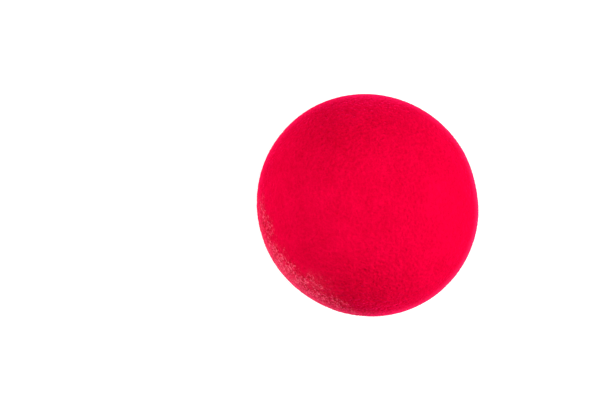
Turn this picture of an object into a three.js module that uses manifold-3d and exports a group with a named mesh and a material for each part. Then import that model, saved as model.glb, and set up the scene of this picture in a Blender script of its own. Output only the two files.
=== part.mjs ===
// A foam clown nose: one ball of soft open-cell foam, ground round by hand, with a round pocket punched into
// its flat back for the wearer's nose.
// Millimetres, +Z up. The nose stands on its flat back with the pocket's mouth down and the front of the ball
// up. The origin is the middle of the mouth, in the plane of the flat back.

import * as THREE from "three";
import { mergeVertices } from "three/addons/utils/BufferGeometryUtils.js";
import Module from "manifold-3d";

// The ball, before its back is cut flat. It is a little oval seen from the front.
const LONG_DIAMETER = 60.8; // along the long axis, seen from the front
const SHORT_DIAMETER = 59.3; // across it
const FRONT_TO_BACK_DIAMETER = 60.0;
const LONG_AXIS_DEG = 130; // from +X towards +Y

// The pocket for the wearer's nose.
const MOUTH_DIAMETER = 24.0; // just inside the rounded lip
const LIP_RADIUS = 1.0; // rounding of the mouth's edge
const POCKET_TAPER = 1.5; // how much the wall closes in all round, from the lip to the domed end
const POCKET_DEPTH = 30.0; // from the flat back to the top of the domed end
const POCKET_END_HEIGHT = 9.0; // of the domed end alone

// The flat ring round the mouth, from the lip's rounding to the ball's skin.
const BACK_RIM_WIDTH = 2.5;

// Shallow hollows that the grinding left round the ball's widest part. depth is a share of the ball's radius,
// and spread is the angle from a hollow's middle to where it fades out. Azimuth runs from +X towards +Y,
// elevation up from the ball's middle, all in degrees.
const HOLLOWS = [
  { azimuth: 11, elevation: 4, spread: 22, depth: 0.008 },
  { azimuth: 140, elevation: 2, spread: 24, depth: 0.0015 },
  { azimuth: 237, elevation: 0, spread: 26, depth: 0.007 }, // the scuffed side
  { azimuth: 262, elevation: 8, spread: 18, depth: 0.0035 },
];

// How finely the round forms are divided.
const BALL_SIDES = 72; // round the ball
const BALL_RINGS = 40; // from the front of the ball to the middle of its back
const POCKET_SIDES = 48;
const POCKET_CURVE_STEPS = 5; // pairs of steps along the lip's rounding, and along the domed end

const FOAM_RED = new THREE.Color(0.86, 0.004, 0.045);

// Worked out from the sizes above.
const longRadius = LONG_DIAMETER / 2;
const shortRadius = SHORT_DIAMETER / 2;
const depthRadius = FRONT_TO_BACK_DIAMETER / 2;
const mouthRadius = MOUTH_DIAMETER / 2;
const longAxis = THREE.MathUtils.degToRad(LONG_AXIS_DEG);
const flatRadius = mouthRadius + LIP_RADIUS + BACK_RIM_WIDTH;
const meanRadius = (longRadius + shortRadius) / 2;
const centreHeight = depthRadius * Math.sqrt(1 - (flatRadius / meanRadius) ** 2);

const wasm = await Module();
wasm.setup();

function toSolid(geometry) {
  const bare = geometry.clone();
  bare.deleteAttribute("normal");
  bare.deleteAttribute("uv");
  const merged = mergeVertices(bare, 1e-4);
  const mesh = new wasm.Mesh({
    numProp: 3,
    vertProperties: merged.attributes.position.array,
    triVerts: new Uint32Array(merged.index.array),
  });
  return new wasm.Manifold(mesh);
}

function toGeometry(solid) {
  const { vertProperties, triVerts } = solid.getMesh();
  const geometry = new THREE.BufferGeometry();
  geometry.setAttribute("position", new THREE.BufferAttribute(vertProperties, 3));
  geometry.setIndex(new THREE.BufferAttribute(triVerts, 1));
  geometry.computeVertexNormals();
  return geometry;
}

function directionTo(azimuthDeg, elevationDeg) {
  const azimuth = THREE.MathUtils.degToRad(azimuthDeg);
  const elevation = THREE.MathUtils.degToRad(elevationDeg);
  return new THREE.Vector3(
    Math.cos(azimuth) * Math.cos(elevation),
    Math.sin(azimuth) * Math.cos(elevation),
    Math.sin(elevation),
  );
}

// The share of the radius that the hollows take away in one direction from the ball's middle.
function hollowShare(direction) {
  let share = 0;
  for (const hollow of HOLLOWS) {
    const middle = directionTo(hollow.azimuth, hollow.elevation);
    const away = direction.angleTo(middle) / THREE.MathUtils.degToRad(hollow.spread);
    if (away < 1) share += hollow.depth * 0.5 * (1 + Math.cos(Math.PI * away));
  }
  return share;
}

// The whole ball about its own middle: a sphere with its poles front and back, pulled to the three diameters.
function ballGeometry() {
  const geometry = new THREE.SphereGeometry(1, BALL_SIDES, BALL_RINGS).rotateX(Math.PI / 2);
  const position = geometry.attributes.position;
  const ballAxes = new THREE.Vector3(longRadius, shortRadius, depthRadius);
  const up = new THREE.Vector3(0, 0, 1);
  const point = new THREE.Vector3();
  for (let i = 0; i < position.count; i++) {
    point.fromBufferAttribute(position, i);
    const kept = 1 - hollowShare(point);
    point.applyAxisAngle(up, -longAxis).multiply(ballAxes).applyAxisAngle(up, longAxis);
    point.multiplyScalar(kept);
    position.setXYZ(i, point.x, point.y, point.z);
  }
  return geometry;
}

// The space of the pocket, its mouth in the plane z = 0, with a flare under it that rounds the lip.
function pocketGeometry() {
  const endRadius = mouthRadius - POCKET_TAPER;
  const wallTop = POCKET_DEPTH - POCKET_END_HEIGHT;
  const flareRadius = mouthRadius + LIP_RADIUS;
  const profile = new THREE.Path();
  profile.moveTo(0, -LIP_RADIUS);
  profile.lineTo(flareRadius, -LIP_RADIUS);
  profile.lineTo(flareRadius, 0);
  profile.absarc(flareRadius, LIP_RADIUS, LIP_RADIUS, -Math.PI / 2, -Math.PI, true);
  profile.lineTo(endRadius, wallTop);
  profile.absellipse(0, wallTop, endRadius, POCKET_END_HEIGHT, 0, Math.PI / 2, false, 0);
  const points = profile.getPoints(POCKET_CURVE_STEPS);
  points[points.length - 1].x = 0;
  return new THREE.LatheGeometry(points, POCKET_SIDES).rotateX(Math.PI / 2);
}

// A block below the plane z = 0, wide enough to take the ball's whole back off.
function backBlockGeometry() {
  const width = 2 * LONG_DIAMETER;
  const height = FRONT_TO_BACK_DIAMETER;
  return new THREE.BoxGeometry(width, width, height).translate(0, 0, -height / 2);
}

function foamNose() {
  const ball = toSolid(ballGeometry().translate(0, 0, centreHeight));
  const solid = ball.subtract(toSolid(backBlockGeometry())).subtract(toSolid(pocketGeometry()));
  const foam = new THREE.MeshStandardMaterial({ color: FOAM_RED, roughness: 0.95, metalness: 0 });
  const mesh = new THREE.Mesh(toGeometry(solid), foam);
  mesh.name = "foam_nose";
  return mesh;
}

const clownNose = new THREE.Group();
clownNose.add(foamNose());

export default clownNose;
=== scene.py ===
import math
from itertools import combinations

import bpy
import numpy as np
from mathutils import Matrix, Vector
from mathutils.bvhtree import BVHTree


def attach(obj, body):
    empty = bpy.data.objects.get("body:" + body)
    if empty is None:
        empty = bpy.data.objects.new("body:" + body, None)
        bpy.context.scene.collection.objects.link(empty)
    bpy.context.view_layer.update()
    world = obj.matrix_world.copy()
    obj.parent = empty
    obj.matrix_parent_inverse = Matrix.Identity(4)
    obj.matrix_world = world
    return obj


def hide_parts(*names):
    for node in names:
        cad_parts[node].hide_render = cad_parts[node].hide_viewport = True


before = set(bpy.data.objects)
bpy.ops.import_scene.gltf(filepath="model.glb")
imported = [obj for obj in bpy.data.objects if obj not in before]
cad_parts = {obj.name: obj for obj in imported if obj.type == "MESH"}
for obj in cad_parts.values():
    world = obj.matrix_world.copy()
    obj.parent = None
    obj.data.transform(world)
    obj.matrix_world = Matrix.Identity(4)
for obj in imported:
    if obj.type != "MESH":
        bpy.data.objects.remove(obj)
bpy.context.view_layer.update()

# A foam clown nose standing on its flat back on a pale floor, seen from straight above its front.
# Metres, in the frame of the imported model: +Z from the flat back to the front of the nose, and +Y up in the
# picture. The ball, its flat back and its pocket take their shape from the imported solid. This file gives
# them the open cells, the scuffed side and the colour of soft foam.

SOLID = "foam_nose"

# The camera looks straight down. The picture's middle is beside the ball, by these shifts on the floor.
LENS_MM = 100.0
SENSOR_MM = 36.0
CAMERA_HEIGHT = 0.4589  # above the ball's widest part
CAMERA_X = -0.01659
CAMERA_Y = -0.00112

# The ball's widest part, and how the triangles are shared out over the skin and the pocket.
MIDDLE_HEIGHT = 0.0256
WELL_OUTSIDE = 4 * MIDDLE_HEIGHT  # from the ball's middle, where the rays onto the solid start
GEODESIC_FREQUENCY = 98  # 20 * 98 * 98 = 192,080 triangles
POCKET_SHARE = 0.12  # of all triangles
POCKET_STRETCH = 1.5  # how much longer than wide they are in the pocket
POCKET_HIGHEST = 0.040  # above all of the pocket, and below the front of the ball
PROFILE_STEPS = 4000  # from the pocket's lip to the middle of its end
EDGE_SNAP = 0.005  # triangle corners this near to the back's edge, in radians, are put on it
TINY = 1e-6
SAME_RING_DIGITS = 6  # rings of the pocket that agree to this many decimal places are one
SAME_POINT_DIGITS = 7  # and so are points of the sphere

# Relief of the foam, into the surface. The cells are a little taller than wide, by the way the foam rose.
# Struts and reach are shares of a cell's size: each hollow sets in over the strut's width and fades out
# towards the reach.
CELL_STRETCH = (1.0, 1.25, 1.0)
CELLS = {"size": 0.0011, "strut": 0.35, "reach": 1.15, "depth": 0.00016}
FINE_CELLS = {"size": 0.0007, "strut": 0.4, "depth": 0.00006}
SWELLS = {"size": 0.006, "depth": 0.00006}
GRIT_ROUGHER = 0.8  # how much deeper the cells are where the scuffed side is gritty

# The scuffed side, on the ball's lower left, made of round patches. Directions are from the ball's middle:
# azimuth from +X towards +Y and elevation towards the front, in degrees. Grit is the strength of its pale
# specks and of the painted shade in its pits, and haze that of the smooth pale haze between them.
SCUFF_PATCHES = [
    {"azimuth": 226, "elevation": -12, "spread": 52, "grit": 1.0, "haze": 1.4},
    {"azimuth": 195, "elevation": 5, "spread": 28, "grit": 0.85, "haze": 1.0},
    {"azimuth": 235, "elevation": 29, "spread": 18, "grit": 0.3, "haze": 1.0},
    {"azimuth": 256, "elevation": 0, "spread": 28, "grit": 0.35, "haze": 2.3},
]
SCUFF_RAGGED_DEG = 4.0  # how far a patch's edge wanders
SCUFF_RAGGED_SIZE = 0.003
SCUFF_NOTCH_DEG = 2.0  # and how far in small notches
SCUFF_NOTCH_SIZE = 0.001
SCUFF_WANDER_DEG = 3.0  # and how far in longer swings
SCUFF_WANDER_SIZE = 0.009
SCUFF_LOW_WANDER = 4.0  # how much more the lowest edge wanders
GRIT_FADE_DEG = 11.0  # the grit sets in over this angle, inwards from a patch's edge
HAZE_FADE_DEG = 26.0  # and the haze over this one
SCUFF_FULL_DEG = -8.0  # both are at full strength down to about this elevation
SCUFF_LOWEST_DEG = -42.0  # and there is no scuffing below this one

# Parts of the ball at the top and bottom where the foam is more open and rougher, and where a deeper red is
# painted in as shade for the gap between the right and left lights. In degrees, with the share of full
# strength at the middle.
OPEN_SHADED_PATCHES = [
    {"azimuth": 108, "elevation": 42, "spread": 42, "strength": 0.9},
    {"azimuth": 264, "elevation": 31, "spread": 40, "strength": 1.2},
]
OPEN_PAINTED_SHADE = 0.11
OPEN_ROUGHER = 0.6

# Colours. Each cell has painted shade deep inside and is pale at its struts, by the same share either way
# from the mean.
FOAM_RED = (0.60, 0.0004, 0.0278)
FOAM_VARIES = (0.60, 0.0008, 0.0556)
SCUFF_RED = (0.93, 0.126, 0.217)
FUZZ_TINT = (1.0, 0.009, 0.13)
FUZZ_WEIGHT = 0.6
FUZZ_ROUGHNESS = 0.27
FOAM_ROUGHNESS = 0.95

# A painted rim highlight: the base colour turns paler where the skin is seen nearly edge on, standing in for
# the light its loose cell ends catch there. Facing is 0 seen straight on. The painted highlight is paler
# still towards the lower right, the more brightly lit side.
PAINTED_RIM_RED = (0.86, 0.004, 0.060)
PAINTED_RIM_LIT_SIDE_RED = (0.88, 0.0145, 0.086)
RIM_LIT_TOWARDS_DEG = -35.0
EDGE_STARTS_FACING = 0.69
EDGE_FULL_FACING = 0.92

# Grain of the colour: sizes, how rough each noise is, and how much it changes the colour. The cells and pores
# are darker in their middles, painted shade in the hollows; the fine grain and the mottle are random tone.
# Heights are shares of the height between a cell's middle and its struts, which is BUMP_DEPTH.
MEAN = 0.5  # of every grain
SHADED_CELLS = {"size": 0.00085, "amount": 0.13}
PORES = {"size": 0.00045, "amount": 0.06, "height": 0.5}
FINE_GRAIN = {"size": 0.0007, "detail": 2.0, "roughness": 0.6, "amount": 0.17, "height": 0.8}
MOTTLE = {"size": 0.0055, "detail": 3.0, "roughness": 0.8, "amount": 0.35}
BUMP_DEPTH = 0.00016

# A few larger open cells, sunk in the bump and darkened with painted shade. Their reach is a share of how far
# apart they are. Elsewhere is their strength where the foam isn't more open.
HOLES = {"apart": 0.0026, "reach": 0.18, "darker": 0.26, "elsewhere": 0.3}

# The grit of the scuffed side, in loose clumps. Specks are where the speckle is high, and pits, darkened with
# painted shade, where it is low, mostly in the middles of the cells. Rarer is how much higher the speckle has
# to be for a speck where there is hardly any grit. Lost at edge is the share of the specks' strength that
# goes where the skin is seen edge on.
SPECKLE = {"size": 0.0005, "detail": 2.0, "roughness": 0.7}
SCUFF_CELLS = {"size": 0.00095, "amount": 0.22}
SPECKS = {"from": 0.47, "to": 0.61, "rarer": 0.08, "strength": 0.56, "lost_at_edge": 0.55}
PITS = {"from": 0.49, "to": 0.39, "painted_shade": 0.32}
CLUMPS = {"size": 0.0022, "detail": 1.0, "roughness": 0.5, "from": 0.28, "to": 0.55}
HAZE_STRENGTH = 0.18

# Soft lights: azimuth, elevation and how wide each looks from the nose, in degrees, and its strength.
SOFT_LIGHTS = {
    "right softbox": {"azimuth": 0, "elevation": 33, "width": 24, "strength": 3.28},
    "left softbox": {"azimuth": 170, "elevation": 17, "width": 24, "strength": 2.20},
    "overhead softbox": {"azimuth": 0, "elevation": 90, "width": 24, "strength": 2.16},
}
ROOM_LIGHT = 0.05
HORIZON_LIGHT = 0.95
HORIZON_TOP_DEG = 4.0  # it fades out by twice this elevation
FLOOR_HALF = 6.0  # half of the floor's side
FLOOR_GLOW = 0.72
FLOOR_GREY = 0.42

SEED = 7


def link(thing):
    bpy.context.scene.collection.objects.link(thing)
    return thing


def unit_towards(azimuth_deg, elevation_deg):
    azimuth = math.radians(azimuth_deg)
    elevation = math.radians(elevation_deg)
    return np.array([
        math.cos(azimuth) * math.cos(elevation),
        math.sin(azimuth) * math.cos(elevation),
        math.sin(elevation),
    ])


# Camera, lights and floor

def add_camera():
    data = bpy.data.cameras.new("camera")
    data.lens = LENS_MM
    data.sensor_width = SENSOR_MM
    camera = link(bpy.data.objects.new("camera", data))
    camera.location = (CAMERA_X, CAMERA_Y, MIDDLE_HEIGHT + CAMERA_HEIGHT)
    bpy.context.scene.camera = camera


def add_lights():
    """Wide, distant lights, so that the whole floor is lit alike."""
    for name, light in SOFT_LIGHTS.items():
        data = bpy.data.lights.new(name, "SUN")
        data.angle = math.radians(light["width"])
        data.energy = light["strength"]
        lamp = link(bpy.data.objects.new(name, data))
        towards = Vector(unit_towards(light["azimuth"], light["elevation"]))
        lamp.rotation_euler = towards.to_track_quat("Z", "Y").to_euler()


def add_room():
    """Dim above, and pale near the horizon, as a white room is over a lit floor."""
    world = bpy.data.worlds.new("pale room")
    world.use_nodes = True
    tree = world.node_tree
    direction = tree.nodes.new("ShaderNodeTexCoord").outputs["Generated"]
    split = tree.nodes.new("ShaderNodeSeparateXYZ")
    fade = tree.nodes.new("ShaderNodeMapRange")
    fade.interpolation_type = "SMOOTHSTEP"
    fade.inputs["From Min"].default_value = math.sin(math.radians(HORIZON_TOP_DEG))
    fade.inputs["From Max"].default_value = math.sin(math.radians(2 * HORIZON_TOP_DEG))
    fade.inputs["To Min"].default_value = HORIZON_LIGHT
    fade.inputs["To Max"].default_value = ROOM_LIGHT
    background = tree.nodes["Background"]
    background.inputs["Color"].default_value = (1, 1, 1, 1)
    tree.links.new(direction, split.inputs["Vector"])
    tree.links.new(split.outputs["Z"], fade.inputs["Value"])
    tree.links.new(fade.outputs["Result"], background.inputs["Strength"])
    bpy.context.scene.world = world


def add_floor():
    """White paper on a lit table: it glows a little, so it shows hardly any shadow, as in the picture."""
    half = FLOOR_HALF
    mesh = bpy.data.meshes.new("floor")
    corners = [(-half, -half, 0), (half, -half, 0), (half, half, 0), (-half, half, 0)]
    mesh.from_pydata(corners, [], [(0, 1, 2, 3)])
    floor = link(bpy.data.objects.new("floor", mesh))
    material = bpy.data.materials.new("lit white paper")
    material.use_nodes = True
    shader = material.node_tree.nodes["Principled BSDF"]
    shader.inputs["Base Color"].default_value = (FLOOR_GREY, FLOOR_GREY, FLOOR_GREY, 1)
    shader.inputs["Roughness"].default_value = 1.0
    shader.inputs["Specular IOR Level"].default_value = 0.0
    shader.inputs["Emission Color"].default_value = (1, 1, 1, 1)
    shader.inputs["Emission Strength"].default_value = FLOOR_GLOW
    mesh.materials.append(material)


# The foam body's surface

def split_triangle(frequency, edge_angle):
    """How a great triangle is split: the weights of its corners at each point, and the small triangles."""
    rows = [(i, j) for i in range(frequency + 1) for j in range(frequency + 1 - i)]
    index = {place: n for n, place in enumerate(rows)}
    small = []
    for (i, j), n in index.items():
        if i + j < frequency:
            small.append((n, index[i + 1, j], index[i, j + 1]))
        if i + j < frequency - 1:
            small.append((index[i + 1, j], index[i + 1, j + 1], index[i, j + 1]))
    rows = np.array(rows)
    shares = np.column_stack([frequency - rows.sum(axis=1), rows]) / frequency
    return np.sin(shares * edge_angle), np.array(small)


def geodesic_sphere(frequency):
    """Points and triangles of a unit sphere: an icosahedron whose faces are split along great circles."""
    golden = (1 + math.sqrt(5)) / 2
    edge = 2  # from each of these corners to its neighbours
    corners = []
    for a in (-1, 1):
        for b in (-golden, golden):
            corners += [(0, a, b), (a, b, 0), (b, 0, a)]
    corners = np.array(corners, float)
    apart = np.linalg.norm(corners[:, None] - corners[None], axis=2)
    near = np.abs(apart - edge) < TINY
    corners /= np.linalg.norm(corners[0])
    edge_angle = math.acos(corners[0] @ corners[np.flatnonzero(near[0])[0]])

    weights, small = split_triangle(frequency, edge_angle)
    points = []
    triangles = []
    for a, b, c in combinations(range(len(corners)), 3):
        if not (near[a, b] and near[b, c] and near[a, c]):
            continue
        face = corners[[a, b, c]]
        if np.linalg.det(face) < 0:
            face = face[[0, 2, 1]]
        triangles.append(small + len(points) * len(weights))
        points.append(weights @ face)
    points = np.concatenate(points)
    points /= np.linalg.norm(points, axis=1, keepdims=True)
    triangles = np.concatenate(triangles)

    # Points on the faces' shared edges are made one. Adding 0 turns -0 into 0.
    rounded = np.round(points, SAME_POINT_DIGITS) + 0.0
    _, first, place = np.unique(rounded, axis=0, return_index=True, return_inverse=True)
    return points[first], place.reshape(-1)[triangles]


class Solid:
    """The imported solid's surface, for rays."""

    def __init__(self, node):
        mesh = node.data
        mesh.calc_loop_triangles()
        self.corners = np.zeros(len(mesh.vertices) * 3)
        mesh.vertices.foreach_get("co", self.corners)
        self.corners = self.corners.reshape(-1, 3)
        self.triangles = np.zeros(len(mesh.loop_triangles) * 3, int)
        mesh.loop_triangles.foreach_get("vertices", self.triangles)
        self.triangles = self.triangles.reshape(-1, 3)
        self.tree = BVHTree.FromPolygons(self.corners.tolist(), self.triangles.tolist())

    def hit(self, starts, directions):
        """Where rays meet the surface, and in which triangles."""
        places = []
        faces = []
        for start, direction in zip(starts, directions):
            place, _, face, _ = self.tree.ray_cast(Vector(start), Vector(direction))
            places.append(place)
            faces.append(face)
        return np.array(places, float), np.array(faces)

    def between_corners(self, values, places, faces):
        """Values given at the solid's corners, read off at places in its triangles."""
        a, b, c = (self.corners[self.triangles[faces, k]] for k in range(3))
        normal = np.cross(b - a, c - a)
        area = (normal ** 2).sum(axis=1)
        share_b = (np.cross(places - a, c - a) * normal).sum(axis=1) / area
        share_c = (np.cross(b - a, places - a) * normal).sum(axis=1) / area
        share_a = 1 - share_b - share_c
        at = values[self.triangles[faces]]
        return at[:, 0] * share_a + at[:, 1] * share_b + at[:, 2] * share_c


def back_edges(solid):
    """The radius of the pocket's lip, and the azimuths and radii of the flat back's outer edge."""
    on_back = solid.corners[solid.corners[:, 2] < TINY]
    radius = np.hypot(on_back[:, 0], on_back[:, 1])
    azimuth = np.arctan2(on_back[:, 1], on_back[:, 0])
    outer = radius > radius.min() + TINY
    return radius.min(), azimuth[outer], radius[outer]


def pocket_profile(solid):
    """The pocket's round form, from its lip to the middle of its domed end: distances along it, from the
    axis, and up from the back."""
    lip_radius, _, _ = back_edges(solid)
    radius = np.hypot(solid.corners[:, 0], solid.corners[:, 1])
    height = solid.corners[:, 2]
    own = (radius < lip_radius + TINY) & (height < POCKET_HIGHEST)
    rings = np.unique(np.round(np.column_stack([height[own], radius[own]]), SAME_RING_DIGITS), axis=0)
    step = np.hypot(np.diff(rings[:, 0]), np.diff(rings[:, 1]))
    along = np.concatenate([[0], np.cumsum(step)])
    fine = np.linspace(0, along[-1], PROFILE_STEPS)
    return fine, np.interp(fine, along, rings[:, 1]), np.interp(fine, along, rings[:, 0])


def outer_skin(solid, azimuth, area_share):
    """Points on the ball and its flat back, by rays that come in towards the ball's middle."""
    lip_radius, edge_azimuth, edge_radius = back_edges(solid)
    # Angles are from the back's middle. Equal shares of area are equal steps of the cosine, down to the lip.
    lip_cosine = MIDDLE_HEIGHT / math.hypot(lip_radius, MIDDLE_HEIGHT)
    cosine = 1 - (1 + lip_cosine) * area_share / (1 - POCKET_SHARE)
    angle = math.pi - np.arccos(np.clip(cosine, -1, 1))
    order = np.argsort(edge_azimuth)
    radius_there = np.interp(azimuth, edge_azimuth[order], edge_radius[order], period=2 * math.pi)
    edge_angle = np.arctan2(radius_there, MIDDLE_HEIGHT)
    angle = np.where(np.abs(angle - edge_angle) < EDGE_SNAP, edge_angle, angle)

    rays = np.column_stack([
        np.sin(angle) * np.cos(azimuth),
        np.sin(angle) * np.sin(azimuth),
        -np.cos(angle),
    ])
    middle = np.array([0, 0, MIDDLE_HEIGHT])
    places, faces = solid.hit(middle + rays * WELL_OUTSIDE, -rays)
    # The ball's facets are rounded, by the distance from its middle. The flat back stays flat.
    from_middle = np.linalg.norm(solid.corners - middle, axis=1)
    rounded = middle + rays * solid.between_corners(from_middle, places, faces)[:, None]
    flat = (places[:, 2] < TINY)[:, None]
    return np.where(flat, places, rounded)


def pocket_skin(solid, azimuth, from_pole):
    """Points in the pocket. The sphere's circles round its back pole go along the profile, spaced so that
    the triangles keep their shape."""
    along, radius, height = pocket_profile(solid)
    turned = np.concatenate([[0], np.cumsum(np.diff(along) / np.maximum(radius[1:], TINY))])
    first = math.acos(1 - 2 * POCKET_SHARE)
    wanted = POCKET_STRETCH * np.log(math.tan(first / 2) / np.tan(np.maximum(from_pole, TINY) / 2))
    radius = np.interp(wanted, turned, radius)
    height = np.interp(wanted, turned, height)
    return np.column_stack([radius * np.cos(azimuth), radius * np.sin(azimuth), height])


def foam_surface(solid):
    """One closed skin of even triangles over the solid: the ball, its flat back and the pocket."""
    directions, triangles = geodesic_sphere(GEODESIC_FREQUENCY)
    azimuth = np.arctan2(directions[:, 1], directions[:, 0])
    # Share of the sphere's area between its front pole and each direction.
    area_share = (1 - directions[:, 2]) / 2
    from_back_pole = math.pi - np.arccos(np.clip(directions[:, 2], -1, 1))
    inside = area_share > 1 - POCKET_SHARE
    points = np.zeros_like(directions)
    points[~inside] = outer_skin(solid, azimuth[~inside], area_share[~inside])
    points[inside] = pocket_skin(solid, azimuth[inside], from_back_pole[inside])
    return points, triangles


def vertex_normals(points, triangles):
    a, b, c = (points[triangles[:, k]] for k in range(3))
    across = np.cross(b - a, c - a)
    normals = np.zeros_like(points)
    for k in range(3):
        for axis in range(3):
            normals[:, axis] += np.bincount(triangles[:, k], across[:, axis], len(points))
    return normals / np.linalg.norm(normals, axis=1, keepdims=True)


def cells(points, size, rng):
    """Distances, in cells, from each point to the nearest and second nearest of random cell middles."""
    place = points / size
    low = np.floor(place.min(axis=0)).astype(int) - 1
    count = np.floor(place.max(axis=0)).astype(int) + 2 - low
    jitter = rng.random((*count, 3))
    home = np.floor(place).astype(int)
    nearest = np.full(len(points), np.inf)
    second = np.full(len(points), np.inf)
    for dx in (-1, 0, 1):
        for dy in (-1, 0, 1):
            for dz in (-1, 0, 1):
                cell = home + (dx, dy, dz)
                at = cell - low
                middle = cell + jitter[at[:, 0], at[:, 1], at[:, 2]]
                distance = np.linalg.norm(middle - place, axis=1)
                second = np.minimum(second, np.maximum(nearest, distance))
                nearest = np.minimum(nearest, distance)
    return nearest, second


def smooth_noise(points, size, rng):
    """Soft random swells from -1 to 1, blended between the corners of a grid."""
    place = points / size
    low = np.floor(place.min(axis=0)).astype(int)
    count = np.floor(place.max(axis=0)).astype(int) + 2 - low
    value = rng.uniform(-1, 1, count)
    home = np.floor(place).astype(int)
    part = place - home
    part = part * part * (3 - 2 * part)
    at = home - low
    total = np.zeros(len(points))
    for dx in (0, 1):
        for dy in (0, 1):
            for dz in (0, 1):
                share = np.where(dx, part[:, 0], 1 - part[:, 0])
                share = share * np.where(dy, part[:, 1], 1 - part[:, 1])
                share = share * np.where(dz, part[:, 2], 1 - part[:, 2])
                total += share * value[at[:, 0] + dx, at[:, 1] + dy, at[:, 2] + dz]
    return total


def angles_from(points, patch):
    """Angles between the points and a patch's middle, from the ball's middle."""
    away = points - (0, 0, MIDDLE_HEIGHT)
    away = away / np.linalg.norm(away, axis=1, keepdims=True)
    middle = unit_towards(patch["azimuth"], patch["elevation"])
    return np.degrees(np.arccos(np.clip(away @ middle, -1, 1)))


def eased(share):
    share = np.clip(share, 0, 1)
    return share * share * (3 - 2 * share)


def scuff_shares(points, rng):
    """How gritty and how hazy the scuffed side is at each point."""
    ragged = SCUFF_RAGGED_DEG * smooth_noise(points, SCUFF_RAGGED_SIZE, rng)
    ragged += SCUFF_NOTCH_DEG * smooth_noise(points, SCUFF_NOTCH_SIZE, rng)
    wander = SCUFF_WANDER_DEG * smooth_noise(points, SCUFF_WANDER_SIZE, rng)
    grit = np.zeros(len(points))
    haze = np.zeros(len(points))
    for patch in SCUFF_PATCHES:
        inside = patch["spread"] + ragged + wander - angles_from(points, patch)
        grit = np.maximum(grit, patch["grit"] * eased(inside / GRIT_FADE_DEG))
        haze = np.maximum(haze, patch["haze"] * np.clip(inside / HAZE_FADE_DEG, 0, 1) ** 2)

    away = points - (0, 0, MIDDLE_HEIGHT)
    distance = np.linalg.norm(away, axis=1)
    elevation = np.degrees(np.arcsin(away[:, 2] / distance)) + ragged + SCUFF_LOW_WANDER * wander
    kept = eased((elevation - SCUFF_LOWEST_DEG) / (SCUFF_FULL_DEG - SCUFF_LOWEST_DEG))
    kept[distance < MIDDLE_HEIGHT] = 0  # the pocket is nearer the middle than the skin is
    return grit * kept, haze * kept


def open_and_shade_share(points):
    """How much more open than elsewhere the foam is at each point, and how much painted shade it has there.
    """
    share = np.zeros(len(points))
    for patch in OPEN_SHADED_PATCHES:
        share += patch["strength"] * eased(1 - angles_from(points, patch) / patch["spread"])
    return share


def rim_lit_share(points):
    """How much paler the painted rim highlight is round the ball, from 0 to 1, most towards the lower right.
    """
    azimuth = np.arctan2(points[:, 1], points[:, 0])
    return (1 + np.cos(azimuth - math.radians(RIM_LIT_TOWARDS_DEG))) / 2


def relief_depth(points, grit, openness_and_shade, rng):
    """How far into the foam each point of the skin goes."""
    place = points / CELL_STRETCH
    nearest, second = cells(place, CELLS["size"], rng)
    hollow = np.clip((second - nearest) / CELLS["strut"], 0, 1)
    depth = CELLS["depth"] * hollow * np.clip(CELLS["reach"] - nearest, 0, 1)
    nearest, second = cells(place, FINE_CELLS["size"], rng)
    depth += FINE_CELLS["depth"] * np.clip((second - nearest) / FINE_CELLS["strut"], 0, 1)
    depth *= 1 + GRIT_ROUGHER * grit + OPEN_ROUGHER * openness_and_shade
    depth += SWELLS["depth"] * (1 + smooth_noise(points, SWELLS["size"], rng)) / 2
    return depth


def foam_body(solid):
    rng = np.random.default_rng(SEED)
    points, triangles = foam_surface(solid)
    normals = vertex_normals(points, triangles)
    grit, haze = scuff_shares(points, rng)
    openness_and_shade = open_and_shade_share(points)
    points = points - normals * relief_depth(points, grit, openness_and_shade, rng)[:, None]

    mesh = bpy.data.meshes.new("foam_body")
    mesh.from_pydata(points.tolist(), [], triangles.tolist())
    mesh.shade_smooth()
    shares = {"grit": grit, "haze": haze, "openness_and_shade": openness_and_shade, "rim_lit_side": rim_lit_share(points)}
    for name, share in shares.items():
        attribute = mesh.attributes.new(name, "FLOAT", "POINT")
        attribute.data.foreach_set("value", share.astype(np.float32))
    attribute = mesh.attributes.new("skin_normal", "FLOAT_VECTOR", "POINT")
    attribute.data.foreach_set("vector", normals.astype(np.float32).ravel())
    body = link(bpy.data.objects.new("foam_body", mesh))
    mesh.materials.append(foam_material())
    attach(body, "root")
    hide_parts(SOLID)
    return body


# Materials

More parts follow.
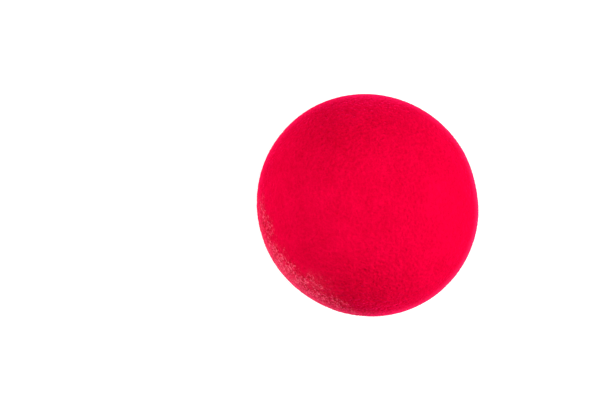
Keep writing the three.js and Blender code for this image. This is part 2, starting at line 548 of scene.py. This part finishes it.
class Nodes:
    """Short ways to add and join the nodes of one material."""

    def __init__(self, material):
        material.use_nodes = True
        self.tree = material.node_tree
        self.shader = self.tree.nodes["Principled BSDF"]

    def join(self, value, socket):
        if isinstance(value, bpy.types.NodeSocket):
            self.tree.links.new(value, socket)
        else:
            socket.default_value = value

    def math(self, operation, *values):
        node = self.tree.nodes.new("ShaderNodeMath")
        node.operation = operation
        for value, socket in zip(values, node.inputs):
            self.join(value, socket)
        return node.outputs[0]

    def attribute(self, name, kind="Fac"):
        node = self.tree.nodes.new("ShaderNodeAttribute")
        node.attribute_name = name
        return node.outputs[kind]

    def noise(self, place, grain):
        node = self.tree.nodes.new("ShaderNodeTexNoise")
        self.join(place, node.inputs["Vector"])
        node.inputs["Scale"].default_value = 1 / grain["size"]
        node.inputs["Detail"].default_value = grain["detail"]
        node.inputs["Roughness"].default_value = grain["roughness"]
        return node.outputs["Fac"]

    def cells(self, place, size):
        """Distance from the middle of each of many random cells."""
        node = self.tree.nodes.new("ShaderNodeTexVoronoi")
        self.join(place, node.inputs["Vector"])
        node.inputs["Scale"].default_value = 1 / size
        return node.outputs["Distance"]

    def steps(self, value, low, high):
        """Rises smoothly from 0, where the value is low, to 1, where it is high."""
        node = self.tree.nodes.new("ShaderNodeMapRange")
        node.interpolation_type = "SMOOTHSTEP"
        self.join(value, node.inputs["Value"])
        self.join(low, node.inputs["From Min"])
        self.join(high, node.inputs["From Max"])
        return node.outputs["Result"]

    def mix(self, share, first, second):
        node = self.tree.nodes.new("ShaderNodeMix")
        node.data_type = "RGBA"
        self.join(share, node.inputs["Factor"])
        self.join(first, node.inputs[6])
        self.join(second, node.inputs[7])
        return node.outputs[2]

    def varied(self, value, amount, onto):
        """Adds to a value how far a grain is from its mean, times an amount."""
        return self.math("MULTIPLY_ADD", self.math("SUBTRACT", value, MEAN), amount, onto)


def stretched_place(nodes):
    """Places in the foam, as they are where its cells are as tall as wide."""
    stretch = nodes.tree.nodes.new("ShaderNodeVectorMath")
    stretch.operation = "DIVIDE"
    nodes.join(nodes.tree.nodes.new("ShaderNodeTexCoord").outputs["Object"], stretch.inputs[0])
    stretch.inputs[1].default_value = CELL_STRETCH
    return stretch.outputs[0]


def foam_grain(nodes, place):
    """What the colour and the bump share: the cells, pores and holes, and how much rougher they are."""
    openness_and_shade = nodes.attribute("openness_and_shade")
    hole = nodes.steps(nodes.cells(place, HOLES["apart"]), HOLES["reach"], 0.0)
    rougher = nodes.math("MULTIPLY_ADD", openness_and_shade, OPEN_ROUGHER, 1.0)
    return {
        "cell": nodes.cells(place, SHADED_CELLS["size"]),
        "pore": nodes.cells(place, PORES["size"]),
        "fine": nodes.noise(place, FINE_GRAIN),
        "hole": nodes.math("MULTIPLY", hole, nodes.math("ADD", openness_and_shade, HOLES["elsewhere"])),
        "rougher": nodes.math("MULTIPLY_ADD", nodes.attribute("grit"), GRIT_ROUGHER, rougher),
    }


def paleness(nodes, place, grain):
    """How pale the foam is, from 0 deep in its cells to 1 at their struts: painted shade in the cells, pores,
    holes and open patches, with random grain and mottle.
    """
    # Painted shade deep in the cells and pores.
    pale = nodes.varied(grain["cell"], SHADED_CELLS["amount"], 0.0)
    pale = nodes.varied(grain["pore"], PORES["amount"], pale)
    pale = nodes.varied(grain["fine"], FINE_GRAIN["amount"], pale)
    pale = nodes.math("MULTIPLY_ADD", pale, grain["rougher"], MEAN)
    # Painted shade where the foam is more open, in the gap between the lights.
    pale = nodes.math("MULTIPLY_ADD", nodes.attribute("openness_and_shade"), -OPEN_PAINTED_SHADE, pale)
    pale = nodes.varied(nodes.noise(place, MOTTLE), MOTTLE["amount"], pale)
    # Painted shade in the larger holes.
    return nodes.math("MULTIPLY_ADD", grain["hole"], -HOLES["darker"], pale)


def specks_and_pits(nodes, place):
    """Where the scuffed side is pale, and where shade is painted in its pits."""
    speckle = nodes.noise(place, SPECKLE)
    speckle = nodes.varied(nodes.cells(place, SCUFF_CELLS["size"]), SCUFF_CELLS["amount"], speckle)
    clump = nodes.steps(nodes.noise(place, CLUMPS), CLUMPS["from"], CLUMPS["to"])
    gritty = nodes.math("MULTIPLY", nodes.attribute("grit"), clump)
    rarer = SPECKS["rarer"]
    first = nodes.math("MULTIPLY_ADD", gritty, -rarer, SPECKS["from"] + rarer)
    last = nodes.math("MULTIPLY_ADD", gritty, -rarer, SPECKS["to"] + rarer)
    speck = nodes.math("MULTIPLY", nodes.steps(speckle, first, last), gritty)
    pit = nodes.math("MULTIPLY", nodes.steps(speckle, PITS["from"], PITS["to"]), gritty)
    return speck, pit


def edge_share(nodes):
    """Rises from 0 to 1 where the skin, taken without its relief, is seen nearly edge on."""
    edge = nodes.tree.nodes.new("ShaderNodeLayerWeight")
    nodes.join(nodes.attribute("skin_normal", "Vector"), edge.inputs["Normal"])
    return nodes.steps(edge.outputs["Facing"], EDGE_STARTS_FACING, EDGE_FULL_FACING)


def foam_colour(nodes, place, grain):
    speck, pit = specks_and_pits(nodes, place)
    # Painted shade in the pits of the scuffed side.
    pale = nodes.math("MULTIPLY_ADD", pit, -PITS["painted_shade"], paleness(nodes, place, grain))
    low = [mean - change / 2 for mean, change in zip(FOAM_RED, FOAM_VARIES)]
    high = [mean + change / 2 for mean, change in zip(FOAM_RED, FOAM_VARIES)]
    red = nodes.mix(pale, (*low, 1), (*high, 1))
    # Painted rim highlight: paler red where the skin is seen edge on, more on the lit lower right.
    at_edge = edge_share(nodes)
    rim_red = nodes.mix(nodes.attribute("rim_lit_side"), (*PAINTED_RIM_RED, 1), (*PAINTED_RIM_LIT_SIDE_RED, 1))
    red = nodes.mix(at_edge, red, rim_red)

    strength = SPECKS["strength"]
    strength = nodes.math("MULTIPLY_ADD", at_edge, -SPECKS["lost_at_edge"] * strength, strength)
    scuffed = nodes.math("MULTIPLY", speck, strength)
    scuffed = nodes.math("MULTIPLY_ADD", nodes.attribute("haze"), HAZE_STRENGTH, scuffed)
    return nodes.mix(scuffed, red, (*SCUFF_RED, 1))


def foam_bump(nodes, grain):
    height = nodes.math("MULTIPLY_ADD", grain["fine"], FINE_GRAIN["height"], grain["cell"])
    height = nodes.math("MULTIPLY_ADD", grain["pore"], PORES["height"], height)
    height = nodes.math("SUBTRACT", height, grain["hole"])
    bump = nodes.tree.nodes.new("ShaderNodeBump")
    nodes.join(nodes.math("MULTIPLY", height, grain["rougher"]), bump.inputs["Height"])
    bump.inputs["Strength"].default_value = 1.0
    bump.inputs["Distance"].default_value = BUMP_DEPTH
    return bump.outputs["Normal"]


def foam_material():
    """Matte crimson foam: painted shade deep in each cell and in its open patches, mottled, with a painted
    rim highlight and a paler and coarser scuffed side.
    """
    material = bpy.data.materials.new("red foam")
    nodes = Nodes(material)
    place = stretched_place(nodes)
    grain = foam_grain(nodes, place)
    shader = nodes.shader
    nodes.join(foam_colour(nodes, place, grain), shader.inputs["Base Color"])
    nodes.join(foam_bump(nodes, grain), shader.inputs["Normal"])
    shader.inputs["Roughness"].default_value = FOAM_ROUGHNESS
    shader.inputs["Specular IOR Level"].default_value = 0.0
    shader.inputs["Sheen Weight"].default_value = FUZZ_WEIGHT
    shader.inputs["Sheen Roughness"].default_value = FUZZ_ROUGHNESS
    shader.inputs["Sheen Tint"].default_value = (*FUZZ_TINT, 1)
    return material


add_camera()
add_lights()
add_room()
add_floor()
foam_body(Solid(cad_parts[SOLID]))

bpy.context.scene.view_settings.view_transform = "Standard"
